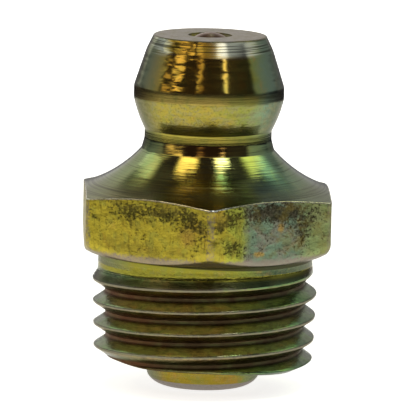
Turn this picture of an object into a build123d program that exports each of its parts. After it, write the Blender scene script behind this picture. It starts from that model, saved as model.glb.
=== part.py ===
from build123d import *
from math import atan, ceil, cos, degrees, hypot, radians, sin, sqrt, tan
import os

# Straight grease nipple, M10x1 short taper thread, 11 mm spanner size.
# Millimetres, +Z up through the mouth, origin under the centre of the bottom lip.

# ---- whole body -----------------------------------------------------------
OVERALL_HEIGHT = 15.78

# ---- head the grease coupler grips ----------------------------------------
HEAD_DIAMETER = 6.70
HEAD_TOP_DIAMETER = 5.02
HEAD_BEVEL_HEIGHT = 0.63
HEAD_BEVEL_DIAMETER = 5.63
HEAD_CONE_HEIGHT = 1.65
HEAD_EDGE_RADIUS = 0.08
HEAD_LAND_HEIGHT = 0.52
HEAD_HOOK_HEIGHT = 1.43
HEAD_HOOK_BULGE = 0.055

# ---- neck and flare down to the hexagon -----------------------------------
NECK_DIAMETER = 5.67
NECK_HEIGHT = 0.40
NECK_FOOT_HEIGHT = 0.46
NECK_FOOT_STEP = 0.12
FLARE_RISE = 1.96
FLARE_DIAMETER = 12.88
FLARE_RADIUS = 5.98

# ---- hexagon ---------------------------------------------------------------
HEX_ACROSS_FLATS = 10.90
HEX_CORNER_RADIUS = 0.35
HEX_BOTTOM_Z = 6.12
HEX_RIM_DIAMETER = 10.70
HEX_CHAMFER_ANGLE = 28.0
HEX_UNDER_FILLET = 0.28

# ---- rolled taper thread ---------------------------------------------------
BLANK_DIAMETER = 9.58
THREAD_PITCH = 1.0
THREAD_TAPER = 1.0 / 16.0
THREAD_CREST_DIAMETER = 10.07
THREAD_GAUGE_Z = 4.77
THREAD_CREST_FLAT = 0.13
THREAD_ROOT_FLAT = 0.20
THREAD_FLANK_ANGLE = 30.0
GROOVE_END_ANGLE = 60.0
GROOVE_OVERCUT = 0.05
THREAD_TOP_Z = 4.92
THREAD_RUNOUT = 0.32
END_FACE_Z = 1.28
END_RIM_DIAMETER = 8.70
END_CHAMFER_ANGLE = 25.0

# ---- crimped boss under the thread ----------------------------------------
BOSS_DIAMETER = 5.30
BOSS_WAIST_DIAMETER = 4.98
BOSS_WAIST_Z = 0.50
LIP_DIAMETER = 2.80
LIP_HOLE_DIAMETER = 1.90
LIP_THICKNESS = 0.42
BOSS_ROOT_DEPTH = 0.30

# ---- grease passage, ball and spring ---------------------------------------
BALL_DIAMETER = 2.60
BALL_PROUD = 0.14
SEAT_HALF_ANGLE = 45.0
MOUTH_DIAMETER = 1.95
THROAT_DIAMETER = 1.70
BORE_CLEARANCE = 0.20
SEAT_GAP = 0.02
SPRING_WIRE = 0.32
SPRING_WALL_GAP = 0.17
SPRING_COILS = 9.5
SPRING_END_GAP = 0.01
BORE_OVERRUN = 1.0

# ---- derived ---------------------------------------------------------------
head_r = HEAD_DIAMETER / 2
neck_r = NECK_DIAMETER / 2
foot_r = neck_r + NECK_FOOT_STEP
flare_r = FLARE_DIAMETER / 2
head_top_r = HEAD_TOP_DIAMETER / 2
bevel_r = HEAD_BEVEL_DIAMETER / 2
bevel_z = OVERALL_HEIGHT - HEAD_BEVEL_HEIGHT
land_top_z = bevel_z - HEAD_CONE_HEIGHT
land_bottom_z = land_top_z - HEAD_LAND_HEIGHT
neck_top_z = land_bottom_z - HEAD_HOOK_HEIGHT
neck_bottom_z = neck_top_z - NECK_HEIGHT
foot_z = neck_bottom_z - NECK_FOOT_HEIGHT
flare_z = foot_z - FLARE_RISE

rim_r = HEX_RIM_DIAMETER / 2
blank_r = BLANK_DIAMETER / 2
under_z = HEX_BOTTOM_Z - HEX_UNDER_FILLET
end_rim_r = END_RIM_DIAMETER / 2
flank_width = (THREAD_PITCH - THREAD_CREST_FLAT - THREAD_ROOT_FLAT) / 2
thread_depth = flank_width / tan(radians(THREAD_FLANK_ANGLE))
taper_slope = THREAD_TAPER / 2
taper_angle = degrees(atan(taper_slope))

ball_r = BALL_DIAMETER / 2
bore_r = ball_r + BORE_CLEARANCE
seat_centre_z = OVERALL_HEIGHT + BALL_PROUD - ball_r
ball_z = seat_centre_z - SEAT_GAP


def crest_r(z):
    """Radius of the thread's crest line at height z."""
    return THREAD_CREST_DIAMETER / 2 + (z - THREAD_GAUGE_Z) * taper_slope


def root_r(z):
    """Radius of the thread's root at height z."""
    return crest_r(z) - thread_depth


def turned(points):
    """Solid turned from a closed outline of (radius, height) points."""
    outline = Polyline(*[(r, 0, z) for r, z in points], close=True)
    return revolve(make_face(outline), Axis.Z, 360)


def spindle():
    """Head, neck and flare, closed underneath by the hexagon's turned chamfer."""
    chamfer_rise = (flare_r - rim_r) * tan(radians(HEX_CHAMFER_ANGLE))
    hook_mid_r = (head_r + neck_r) / 2 + HEAD_HOOK_BULGE
    hook_mid_z = (land_bottom_z + neck_top_z) / 2
    flare_run = flare_r - foot_r
    flare_chord = hypot(flare_run, FLARE_RISE)
    flare_sag = FLARE_RADIUS - sqrt(FLARE_RADIUS**2 - (flare_chord / 2) ** 2)
    flare_mid_r = (foot_r + flare_r) / 2 - flare_sag * FLARE_RISE / flare_chord
    flare_mid_z = (foot_z + flare_z) / 2 - flare_sag * flare_run / flare_chord
    cone = Polyline(
        (head_top_r, 0, OVERALL_HEIGHT), (bevel_r, 0, bevel_z), (head_r, 0, land_top_z)
    )
    land = Line((head_r, 0, land_top_z), (head_r, 0, land_bottom_z))
    hook = ThreePointArc(
        (head_r, 0, land_bottom_z), (hook_mid_r, 0, hook_mid_z), (neck_r, 0, neck_top_z)
    )
    neck = Line((neck_r, 0, neck_top_z), (neck_r, 0, neck_bottom_z))
    foot = Line((neck_r, 0, neck_bottom_z), (foot_r, 0, foot_z))
    flare = ThreePointArc(
        (foot_r, 0, foot_z), (flare_mid_r, 0, flare_mid_z), (flare_r, 0, flare_z)
    )
    rest = Polyline(
        (flare_r, 0, flare_z),
        (flare_r, 0, HEX_BOTTOM_Z + chamfer_rise),
        (rim_r, 0, HEX_BOTTOM_Z),
        (0, 0, HEX_BOTTOM_Z),
        (0, 0, OVERALL_HEIGHT),
        (head_top_r, 0, OVERALL_HEIGHT),
    )
    solid = revolve(make_face([cone, land, hook, neck, foot, flare, rest]), Axis.Z, 360)
    top_edge = solid.edges().filter_by(GeomType.CIRCLE).sort_by(Axis.Z)[-1]
    return fillet(top_edge, HEAD_EDGE_RADIUS)


def hexagon():
    """Hexagonal prism with rolled corners, one corner towards -Y."""
    corner_r = HEX_ACROSS_FLATS / sqrt(3)
    plan = RegularPolygon(corner_r, 6, rotation=30)
    bar = extrude(Pos(0, 0, HEX_BOTTOM_Z) * plan, OVERALL_HEIGHT)
    return fillet(bar.edges().filter_by(Axis.Z), HEX_CORNER_RADIUS)


def threaded_blank():
    """Collar and shank as rolled: a tapered blank with the thread groove cut in it."""
    chamfer_tan = tan(radians(END_CHAMFER_ANGLE))
    chamfer_z = END_FACE_Z + (crest_r(END_FACE_Z) - end_rim_r) * chamfer_tan
    runout_z = THREAD_TOP_Z + THREAD_RUNOUT
    hollow = HEX_UNDER_FILLET * (1 - sqrt(0.5))
    sides = Polyline(
        (0, 0, under_z + 2 * HEX_UNDER_FILLET),
        (0, 0, END_FACE_Z),
        (end_rim_r, 0, END_FACE_Z),
        (crest_r(chamfer_z), 0, chamfer_z),
        (crest_r(THREAD_TOP_Z), 0, THREAD_TOP_Z),
        (blank_r, 0, runout_z),
        (blank_r, 0, under_z),
    )
    under = ThreePointArc(
        (blank_r, 0, under_z),
        (blank_r + hollow, 0, HEX_BOTTOM_Z - hollow),
        (blank_r + HEX_UNDER_FILLET, 0, HEX_BOTTOM_Z),
    )
    top = Polyline(
        (blank_r + HEX_UNDER_FILLET, 0, HEX_BOTTOM_Z),
        (blank_r + HEX_UNDER_FILLET, 0, HEX_BOTTOM_Z + HEX_UNDER_FILLET),
        (0, 0, under_z + 2 * HEX_UNDER_FILLET),
    )
    blank = revolve(make_face([sides, under, top]), Axis.Z, 360)
    for turn in groove_turns():
        blank -= turn
    return blank


def groove_turns():
    """The right-hand thread groove, one solid a turn, from its top end downwards."""
    end_z = THREAD_GAUGE_Z + THREAD_PITCH * GROOVE_END_ANGLE / 360
    lowest_z = END_FACE_Z - THREAD_PITCH / 2
    count = ceil((end_z - lowest_z) / THREAD_PITCH)
    return [groove_turn(end_z - n * THREAD_PITCH) for n in range(1, count + 1)]


def groove_turn(start_z):
    """One turn of the groove from height start_z, root flat inwards, mouth past the crests."""
    inner_r = root_r(start_z)
    outer_r = crest_r(start_z) + GROOVE_OVERCUT
    root_half = THREAD_ROOT_FLAT / 2
    mouth_half = root_half + (outer_r - inner_r) * tan(radians(THREAD_FLANK_ANGLE))
    section = Plane.XZ * Polygon(
        (inner_r, start_z - root_half),
        (outer_r, start_z - mouth_half),
        (outer_r, start_z + mouth_half),
        (inner_r, start_z + root_half),
        align=None,
    )
    path = Helix(
        THREAD_PITCH, THREAD_PITCH, inner_r, (0, 0, start_z), (0, 0, 1), taper_angle
    )
    turn = sweep(section, path=path, is_frenet=True)
    return Rot(0, 0, 360 * (start_z - THREAD_GAUGE_Z) / THREAD_PITCH) * turn


def boss():
    """Hollow stub under the thread, its end crimped in to keep the spring."""
    waist_r = BOSS_WAIST_DIAMETER / 2
    lip_r = LIP_DIAMETER / 2
    root_z = END_FACE_Z + BOSS_ROOT_DEPTH
    roll_radius = ((waist_r - lip_r) ** 2 + BOSS_WAIST_Z**2) / (2 * BOSS_WAIST_Z)
    roll_half_angle = atan(BOSS_WAIST_Z / (waist_r - lip_r))
    roll_r = lip_r + roll_radius * sin(roll_half_angle)
    roll_z = roll_radius * (1 - cos(roll_half_angle))
    side = Polyline(
        (0, 0, root_z),
        (BOSS_DIAMETER / 2, 0, root_z),
        (BOSS_DIAMETER / 2, 0, END_FACE_Z),
        (waist_r, 0, BOSS_WAIST_Z),
    )
    roll = ThreePointArc((waist_r, 0, BOSS_WAIST_Z), (roll_r, 0, roll_z), (lip_r, 0, 0))
    foot = Polyline((lip_r, 0, 0), (0, 0, 0), (0, 0, root_z))
    return revolve(make_face([side, roll, foot]), Axis.Z, 360)


def passage():
    """Everything bored out of the body: mouth, throat, seat, bore and lip hole."""
    mouth_r = MOUTH_DIAMETER / 2
    throat_r = THROAT_DIAMETER / 2
    seat_angle = radians(SEAT_HALF_ANGLE)
    seat_r = ball_r * cos(seat_angle)
    seat_z = seat_centre_z + ball_r * sin(seat_angle)
    throat_z = seat_z + (seat_r - throat_r) / tan(seat_angle)
    bore_top_z = seat_z - (bore_r - seat_r) / tan(seat_angle)
    lip_hole_r = LIP_HOLE_DIAMETER / 2
    return turned(
        [
            (0, OVERALL_HEIGHT + BORE_OVERRUN),
            (mouth_r, OVERALL_HEIGHT + BORE_OVERRUN),
            (mouth_r, OVERALL_HEIGHT),
            (throat_r, throat_z),
            (bore_r, bore_top_z),
            (bore_r, LIP_THICKNESS),
            (lip_hole_r, LIP_THICKNESS),
            (lip_hole_r, -BORE_OVERRUN),
            (0, -BORE_OVERRUN),
        ]
    )


def nipple_body():
    upper = spindle() & hexagon()
    return upper + threaded_blank() + boss() - passage()


def check_ball():
    return Pos(0, 0, ball_z) * Sphere(ball_r)


def ball_spring():
    """Compression spring from the crimped lip up to the underside of the ball."""
    wire_r = SPRING_WIRE / 2
    coil_r = bore_r - SPRING_WALL_GAP - wire_r
    bottom_z = LIP_THICKNESS + wire_r + SPRING_END_GAP
    reach = ball_r + wire_r + SPRING_END_GAP
    top_z = ball_z - sqrt(reach**2 - coil_r**2)
    length = top_z - bottom_z
    helix = Helix(length / SPRING_COILS, length, coil_r, (0, 0, bottom_z))
    start = Plane(origin=helix @ 0, z_dir=helix % 0)
    return sweep(start * Circle(wire_r), path=helix, is_frenet=True)


os.makedirs("parts", exist_ok=True)
export_step(nipple_body(), "parts/nipple_body.step")
export_step(check_ball(), "parts/check_ball.step")
export_step(ball_spring(), "parts/ball_spring.step")
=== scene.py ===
from math import cos, pi, radians, sin, sqrt, tan

import bmesh
import bpy
import numpy as np
from mathutils import Matrix, Vector, noise


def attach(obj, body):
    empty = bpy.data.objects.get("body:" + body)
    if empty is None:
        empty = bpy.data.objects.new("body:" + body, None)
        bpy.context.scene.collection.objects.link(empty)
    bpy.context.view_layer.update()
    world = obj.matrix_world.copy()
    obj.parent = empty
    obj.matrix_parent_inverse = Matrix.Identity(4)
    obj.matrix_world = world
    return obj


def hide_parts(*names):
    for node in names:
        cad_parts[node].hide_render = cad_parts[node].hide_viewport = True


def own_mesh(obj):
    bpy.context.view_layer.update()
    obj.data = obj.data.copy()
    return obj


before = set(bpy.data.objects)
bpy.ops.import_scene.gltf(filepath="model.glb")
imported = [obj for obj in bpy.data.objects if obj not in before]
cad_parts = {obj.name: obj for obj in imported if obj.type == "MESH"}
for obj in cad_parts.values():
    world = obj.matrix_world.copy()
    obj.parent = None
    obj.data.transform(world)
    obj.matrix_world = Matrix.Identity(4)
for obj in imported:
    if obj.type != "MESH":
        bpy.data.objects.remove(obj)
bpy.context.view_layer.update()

# Millimetres below, turned into metres by MM where a mesh, its relief or the camera is made.
# Azimuths are degrees about +Z, 0 along +X, so the front of the part is at -90.
MM = 0.001

# ---- sizes of the body -----------------------------------------------
TOP_Z = 15.78
MOUTH_R, MOUTH_EDGE = 0.975, 0.06
HEAD_TOP_R = 2.51
BEVEL_R, BEVEL_Z = 2.815, 15.15
HEAD_R = 3.35
LAND_TOP_Z, LAND_BOTTOM_Z = 13.50, 12.98
HOOK_MID_R = 3.1475
NECK_R, NECK_TOP_Z, NECK_BOTTOM_Z = 2.835, 11.55, 11.15
FOOT_R, FOOT_Z = 2.955, 10.69
FLARE_R, FLARE_Z, FLARE_RADIUS = 6.44, 8.73, 5.98

HEX_FLAT_R = 5.45
HEX_CORNER_RADIUS = 0.35
HEX_BOTTOM_Z, HEX_BOTTOM_ROUNDING = 6.12, 0.32
HEX_RIM_R = 5.35
HEX_CHAMFER_TAN = tan(radians(28))
UNDER_FILLET = 0.28
COLLAR_R = 4.79

PITCH = 1.0
GAUGE_Z, GAUGE_CREST_R, TAPER = 4.77, 5.035, 1 / 32
ROOT_FLAT, CREST_FLAT = 0.14, 0.08
FLANK = (PITCH - ROOT_FLAT - CREST_FLAT) / 2
DEPTH = 0.58
CREST_ROUNDING, ROOT_ROUNDING = 0.13, 0.16
GROOVE_FADE = 4.80, 5.06
CREST_FADE = 5.00, 5.34
THREAD_TOP_Z, COLLAR_BLEND = 5.60, 0.15

# Uneven lower end of the thread: mm, then the azimuths it comes in and goes out over.
END_Z, END_RIM_R, END_ROUNDING = 1.34, 4.35, 0.08
END_CHAMFER_TAN = tan(radians(25))
END_DROP_LEFT, LEFT_IN = 0.12, (-158, -125)
END_DROP_RIGHT, RIGHT_IN = 0.20, (-95, -30)
DROPS_OUT = 5, 70
END_SWELL, SWELL_IN, SWELL_OUT = 0.15, (-110, -60), (-45, 10)
END_PINCH, PINCH_IN, PINCH_OUT = 0.13, (-50, -10), (20, 70)

BOSS_R, WAIST_R, WAIST_Z = 2.65, 2.49, 0.50
LIP_R, LIP_HOLE_R, LIP_TOP_Z = 1.40, 0.95, 0.42
CRIMP_SWELL = 0.07
BALL_R, BALL_Z, BALL_TRAVEL = 1.30, 14.60, 1.2
BORE_R = 1.50
THROAT_R = 0.85
SEAT_ANGLE, SEAT_GAP = radians(45), 0.02

COLUMNS = 360
HOOK_STEPS, FLARE_STEPS, CRIMP_STEPS, FILLET_STEPS = 8, 22, 9, 4
FLARE_CROWDING = 1.35


def smoothstep(low, high, x):
    """0 at low, 1 at high, smooth between; high may be the lower."""
    t = np.clip((x - low) / (high - low), 0, 1)
    return t * t * (3 - 2 * t)


def window(rise, fall, x):
    """0 up to 1 over the range rise, and back to 0 over the range fall."""
    return smoothstep(*rise, x) * (1 - smoothstep(*fall, x))


def soft_min(a, b, width):
    blend = np.clip(0.5 + 0.5 * (b - a) / width, 0, 1)
    return b + (a - b) * blend - width * blend * (1 - blend)


# ---- outline of the turned and hexagonal part ------------------------
def past_corner(azimuth):
    """Degrees past the nearest corner of the hexagon, one of which is in front."""
    return np.mod(azimuth + 90 + 30, 60) - 30


def hex_radius(azimuth):
    """Distance from the axis to the hexagon's side, corners rounded."""
    turn = past_corner(azimuth)
    flat = HEX_FLAT_R / np.cos(np.radians(30 - np.abs(turn)))
    corner_centre = (HEX_FLAT_R - HEX_CORNER_RADIUS) / cos(radians(30))
    off = corner_centre * np.sin(np.radians(turn))
    along = corner_centre * np.cos(np.radians(turn))
    rounded = along + np.sqrt(np.maximum(HEX_CORNER_RADIUS**2 - off**2, 0))
    corner_half = np.degrees(np.arctan2(
        HEX_CORNER_RADIUS * sin(radians(30)),
        corner_centre + HEX_CORNER_RADIUS * cos(radians(30)),
    ))
    return np.where(np.abs(turn) < corner_half, rounded, flat)


def arc_centre(r0, z0, r1, z1, radius):
    """Centre of the hollow arc between two outline points, outside the metal."""
    chord = sqrt((r1 - r0) ** 2 + (z1 - z0) ** 2)
    rise = sqrt(radius**2 - chord**2 / 4)
    mid_r, mid_z = (r0 + r1) / 2, (z0 + z1) / 2
    return mid_r + (z0 - z1) / chord * rise, mid_z + (r1 - r0) / chord * rise


FLARE_CENTRE = arc_centre(FOOT_R, FOOT_Z, FLARE_R, FLARE_Z, FLARE_RADIUS)


def flare_height(radius):
    """Height of the flare's surface at a distance from the axis."""
    return FLARE_CENTRE[1] - np.sqrt(FLARE_RADIUS**2 - (radius - FLARE_CENTRE[0]) ** 2)


def rounded_part(run, setback):
    """The part of a run that the rounding of its corner takes, less than half of it."""
    length = np.hypot(*run)
    return run / np.maximum(length, 1e-9) * np.minimum(setback, 0.45 * length)


class Outline:
    """Rows of (radius, height) per column, each with the zone of the faces that reach it."""

    def __init__(self, azimuth):
        self.one = np.ones_like(azimuth)
        self.corners = []

    def add(self, radius, height, zone, steps=1, setback=0.0, bend=4, edge=None):
        """A corner, reached by a run of steps in a zone, rounded by setback each way."""
        point = np.stack([radius * self.one, height * self.one])
        self.corners.append((point, zone, steps, setback, bend, edge))

    def rows(self):
        """The points row by row, and the zone of each row's faces."""
        points, zones = [self.corners[0][0]], [self.corners[0][1]]
        for i in range(1, len(self.corners)):
            corner, zone, steps, setback, bend, edge = self.corners[i]
            start = points[-1]
            stop = corner - rounded_part(corner - start, setback)
            for k in range(1, steps + 1):
                points.append(start + (stop - start) * (k / steps))
                zones.append(zone)
            if setback and i + 1 < len(self.corners):
                leave = corner + rounded_part(self.corners[i + 1][0] - corner, setback)
                for k in range(1, bend + 1):
                    t = k / bend
                    points.append((1 - t) ** 2 * stop + 2 * t * (1 - t) * corner + t * t * leave)
                    zones.append(edge or (zone if t < 0.5 else self.corners[i + 1][1]))
        return np.array(points), zones


def upper_outline(azimuth):
    """From the mouth's edge over the head and the hexagon down to the collar."""
    side = hex_radius(azimuth)
    crease_z = flare_height(side)
    chamfer_z = HEX_BOTTOM_Z + (side - HEX_RIM_R) * HEX_CHAMFER_TAN
    line = Outline(azimuth)
    line.add(MOUTH_R, TOP_Z - MOUTH_EDGE, "bore")
    line.add(MOUTH_R, TOP_Z, "bore", 1, 0.04, 3)
    line.add(HEAD_TOP_R, TOP_Z, "top", 5, 0.05, 4, "rim")
    line.add(BEVEL_R, BEVEL_Z, "cone", 4, 0.12, 3)
    line.add(HEAD_R, LAND_TOP_Z, "cone", 9, 0.10, 3)
    line.add(HEAD_R, LAND_BOTTOM_Z, "land", 2, 0.10, 4)
    for k in range(1, HOOK_STEPS):
        t = k / HOOK_STEPS
        bow = 4 * t * (1 - t) * (HOOK_MID_R - (HEAD_R + NECK_R) / 2)
        line.add(HEAD_R + (NECK_R - HEAD_R) * t + bow,
                 LAND_BOTTOM_Z + (NECK_TOP_Z - LAND_BOTTOM_Z) * t, "hook")
    line.add(NECK_R, NECK_TOP_Z, "hook", 1, 0.05, 3, "neck")
    line.add(NECK_R, NECK_BOTTOM_Z, "neck", 2, 0.06, 3)
    line.add(FOOT_R, FOOT_Z, "flare", 3, 0.14, 5)
    for k in range(1, FLARE_STEPS):
        radius = FOOT_R + (side - FOOT_R) * (k / FLARE_STEPS) ** FLARE_CROWDING
        line.add(radius, flare_height(radius), "flare")
    line.add(side, crease_z, "flare", 1, 0.045, 6, "crease")
    line.add(side, chamfer_z, "flat", 12, HEX_BOTTOM_ROUNDING, 8, "flat")
    line.add(HEX_RIM_R, HEX_BOTTOM_Z, "flat", 2, 0.03, 3, "flat")
    line.add(COLLAR_R + UNDER_FILLET, HEX_BOTTOM_Z, "under", 1)
    for k in range(1, FILLET_STEPS + 1):
        turn = radians(90 * k / FILLET_STEPS)
        line.add(COLLAR_R + UNDER_FILLET * (1 - sin(turn)),
                 HEX_BOTTOM_Z - UNDER_FILLET * (1 - cos(turn)), "under")
    line.add(COLLAR_R, THREAD_TOP_Z, "collar", 2)
    return line.rows()


def lower_outline(azimuth, end_z, end_r):
    """From the thread's end face over the boss, up the bore and back to the mouth."""
    line = Outline(azimuth)
    line.add(end_r, end_z, "end")
    line.add(BOSS_R, END_Z, "end", 6, 0.10, 4)
    line.add(WAIST_R, WAIST_Z, "boss", 4, 0.10, 3)
    crimp_radius = ((WAIST_R - LIP_R) ** 2 + WAIST_Z**2) / (2 * WAIST_Z)
    crimp_angle = 2 * np.arctan(WAIST_Z / (WAIST_R - LIP_R))
    for k in range(1, CRIMP_STEPS):
        turn = crimp_angle * (1 - k / CRIMP_STEPS)
        fuller = CRIMP_SWELL * sin(pi * k / CRIMP_STEPS)
        zone = "boss" if k < 2 else "crimp"
        line.add(LIP_R + crimp_radius * sin(turn) + fuller, crimp_radius * (1 - cos(turn)), zone)
    line.add(LIP_R, 0, "crimp")
    line.add(LIP_HOLE_R, 0, "crimp", 2, 0.08, 3)
    line.add(LIP_HOLE_R, LIP_TOP_Z, "bore", 2)
    line.add(BORE_R, LIP_TOP_Z, "bore", 2)
    # On the 45 degree seat the height falls as fast as the radius grows.
    seat_r = BALL_R * cos(SEAT_ANGLE)
    seat_z = BALL_Z + SEAT_GAP + BALL_R * sin(SEAT_ANGLE)
    line.add(BORE_R, seat_z - (BORE_R - seat_r), "bore", 4)
    line.add(THROAT_R, seat_z + (seat_r - THROAT_R), "bore", 2)
    line.add(MOUTH_R, TOP_Z - MOUTH_EDGE, "bore", 2)
    return line.rows()


# ---- thread, a height field on rows that follow the helix ------------
def end_height(azimuth):
    """Height of the end face's rim, which the last turn's crest pushes down."""
    drop = END_DROP_LEFT * smoothstep(*LEFT_IN, azimuth)
    drop += END_DROP_RIGHT * smoothstep(*RIGHT_IN, azimuth)
    return END_Z - drop * (1 - smoothstep(*DROPS_OUT, azimuth))


def end_rim_radius(azimuth):
    """Radius of the end face's rim, swollen in front and pinched at the right."""
    swell = END_SWELL * window(SWELL_IN, SWELL_OUT, azimuth)
    pinch = END_PINCH * window(PINCH_IN, PINCH_OUT, azimuth)
    return END_RIM_R + swell - pinch


def full_crest(height):
    """Radius of the taper thread's crest line."""
    return GAUGE_CREST_R + (height - GAUGE_Z) * TAPER


def thread_radius(azimuth, height):
    """Distance from the axis to the rolled thread's surface."""
    along = height - GAUGE_Z - azimuth / 360 * PITCH
    off_root = (along + 0.5) % PITCH - 0.5 * PITCH
    root_z = height - off_root
    crest_z = root_z + np.sign(off_root) * PITCH / 2
    lift = 1 - smoothstep(*CREST_FADE, crest_z)
    crest = COLLAR_R + (full_crest(height) - COLLAR_R) * lift
    root = full_crest(height) - DEPTH
    root = root + (COLLAR_R - root) * smoothstep(*GROOVE_FADE, root_z)
    climb = np.clip((np.abs(off_root) - ROOT_FLAT / 2) / FLANK, 0, 1)
    climb = soft_min(climb, np.ones_like(climb), CREST_ROUNDING)
    climb = -soft_min(-climb, np.zeros_like(climb), ROOT_ROUNDING)
    return root + (crest - root) * climb


# Rows of each turn, in pitches from the root, closer where the metal bends.
THREAD_TURNS = range(-5, 3)
THREAD_ROWS = [-0.5, -0.475, -0.455, -0.43, -0.40, -0.34, -0.27, -0.20, -0.14, -0.10, -0.07,
               -0.035, 0.0, 0.035, 0.07, 0.10, 0.14, 0.20, 0.27, 0.34, 0.40, 0.43, 0.455, 0.475]


def thread_rows(azimuth):
    """Heights of the helical rows, held between the end rim and the thread's top."""
    low = end_height(azimuth)
    offsets = np.array([turn + along for turn in THREAD_TURNS for along in THREAD_ROWS]) * PITCH
    heights = GAUGE_Z + offsets[:, None] + azimuth[None, :] / 360 * PITCH
    return np.clip(heights, low[None, :], THREAD_TOP_Z)


def thread_points(azimuth):
    """Radii and heights of the thread's grid, led into the collar and the end chamfer."""
    heights = thread_rows(azimuth)
    turn = np.broadcast_to(azimuth, heights.shape)
    radius = thread_radius(turn, heights)
    to_collar = smoothstep(THREAD_TOP_Z, THREAD_TOP_Z - COLLAR_BLEND, heights)
    radius = COLLAR_R + (radius - COLLAR_R) * to_collar
    above_end = heights - end_height(turn)
    rim = end_rim_radius(turn)
    limit = rim + above_end / END_CHAMFER_TAN
    return np.where(above_end > 1e-6, soft_min(radius, limit, END_ROUNDING), rim), heights


# ---- body mesh -------------------------------------------------------
ZONES = ["top", "rim", "cone", "land", "hook", "neck", "flare", "crease", "flat", "under",
         "collar", "thread", "end", "boss", "crimp", "bore"]

# Small dents: azimuth, height, width and depth in mm.
DENTS = [
    (-88.0, 7.45, 0.13, 0.050),
    (-92.5, 7.10, 0.20, 0.020),
    (-86.0, 6.90, 0.10, 0.015),
    (-27.0, 7.30, 0.16, 0.020),
    (-150.0, 6.60, 0.22, 0.018),
    (35.0, 7.20, 0.18, 0.025),
    (92.0, 7.00, 0.20, 0.030),
    (150.0, 7.60, 0.15, 0.020),
]
FLAT_WAVE, THREAD_WAVE, HEAD_WAVE = 0.006, 0.010, 0.0022
MERGE_DISTANCE, SLIVER = 0.0008, 0.0004

# Marks on the hexagon's sides: azimuth, height, half width, half height in mm, strength.
DARK_MARKS = [
    (-146.0, 8.20, 0.30, 0.40, 0.6),
    (-131.0, 8.42, 0.85, 0.42, 1.1),
    (-112.0, 8.45, 1.05, 0.36, 1.1),
    (-99.0, 8.25, 0.50, 0.50, 1.0),
    (-93.5, 7.70, 0.50, 0.75, 0.55),
    (-86.2, 7.98, 0.16, 0.17, 2.4),
    (-83.0, 8.30, 0.55, 0.46, 0.8),
    (-80.0, 7.05, 0.50, 0.34, 1.1),
    (-58.0, 8.50, 1.80, 0.48, 1.6),
    (-43.0, 7.60, 0.65, 0.75, 0.8),
    (-70.0, 7.30, 0.40, 0.30, 0.4),
    (20.0, 8.30, 0.90, 0.40, 1.0),
    (75.0, 8.20, 1.10, 0.50, 1.0),
    (115.0, 7.30, 0.50, 0.50, 0.8),
    (165.0, 8.30, 1.20, 0.40, 1.0),
]
ORANGE_MARKS = [
    (-55.0, 7.82, 0.22, 0.24, 0.9),
    (-45.5, 8.05, 0.18, 0.20, 0.7),
    (-67.0, 6.66, 0.40, 0.14, 1.0),
    (-100.0, 7.50, 0.55, 0.65, 0.7),
    (-122.0, 6.75, 0.70, 0.25, 0.5),
    (-138.0, 7.70, 0.30, 0.35, 0.5),
    (40.0, 7.60, 0.30, 0.20, 0.8),
    (130.0, 7.00, 0.40, 0.30, 0.8),
]
STRONGEST_MARK = 2.4

# Rubbed edges of the hexagon: share worn, and the distances in mm that it fades over.
CORNER_WEAR, CORNER_WEAR_FADE = 0.62, (0.05, 0.44)
CREASE_WEAR, CREASE_WEAR_FADE = 0.6, (0.0, 0.12)
BOTTOM_WEAR_FADE = 0.10, 0.62

# Bare metal on the crests' undersides: in pitches, with the root at 0.5, then in mm of height.
UNDER_FROM, UNDER_TO = (0.53, 0.57), (0.93, 0.98)
UNDER_BOTTOM_FADE, UNDER_TOP_FADE = (1.5, 2.1), (4.45, 4.90)
# Darker band over the last crest, in mm above it.
RUNOUT_FROM, RUNOUT_TO = (0.03, 0.12), (0.26, 0.44)


def marked(radius, azimuth, height, marks):
    """How strongly the listed marks cover each point."""
    share = np.zeros_like(height)
    for at, level, half_width, half_height, strength in marks:
        along = np.radians(azimuth - at) * radius / half_width
        share += strength * np.exp(-along**2 - ((height - level) / half_height) ** 2)
    return np.minimum(share, STRONGEST_MARK)


def wave(points, scale, seed):
    """Smooth noise between about -1 and 1 at each point, at a scale in 1/mm."""
    shift = Vector((seed, 2.3 * seed, -1.7 * seed))
    return np.array([noise.noise(Vector(p) * scale + shift) for p in points])


def grid_faces(first, rows, columns, closed):
    """Quads of a grid of vertices numbered row by row from first."""
    faces = []
    across = columns if closed else columns - 1
    for row in range(rows - 1):
        for column in range(across):
            right = (column + 1) % columns
            a = first + row * columns + column
            b = first + row * columns + right
            c = first + (row + 1) * columns + right
            d = first + (row + 1) * columns + column
            faces.append((a, d, c, b))
    return faces


def handmade(radius, azimuth, height, zone_id):
    """The radius with the slight unevenness and the dents of a rolled and tumbled part."""
    a = np.radians(azimuth)
    points = np.stack([radius * np.cos(a), radius * np.sin(a), height], axis=-1)
    flat = zone_id == ZONES.index("flat")
    thread = zone_id == ZONES.index("thread")
    head = (zone_id == ZONES.index("cone")) | (zone_id == ZONES.index("land"))
    shift = np.where(flat, FLAT_WAVE, 0) * (wave(points, 1.1, 3.0) - 1)
    shift += np.where(thread, THREAD_WAVE, 0) * wave(points, 1.6, 5.0)
    shift += np.where(head, HEAD_WAVE, 0) * wave(points * [1, 1, 0.5], 1.5, 7.0)
    for at, level, width, depth in DENTS:
        reach = np.hypot(np.radians(azimuth - at) * radius, height - level)
        shift -= np.where(flat, depth, 0) * np.exp(-(reach / width) ** 2)
    return radius + shift


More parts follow.
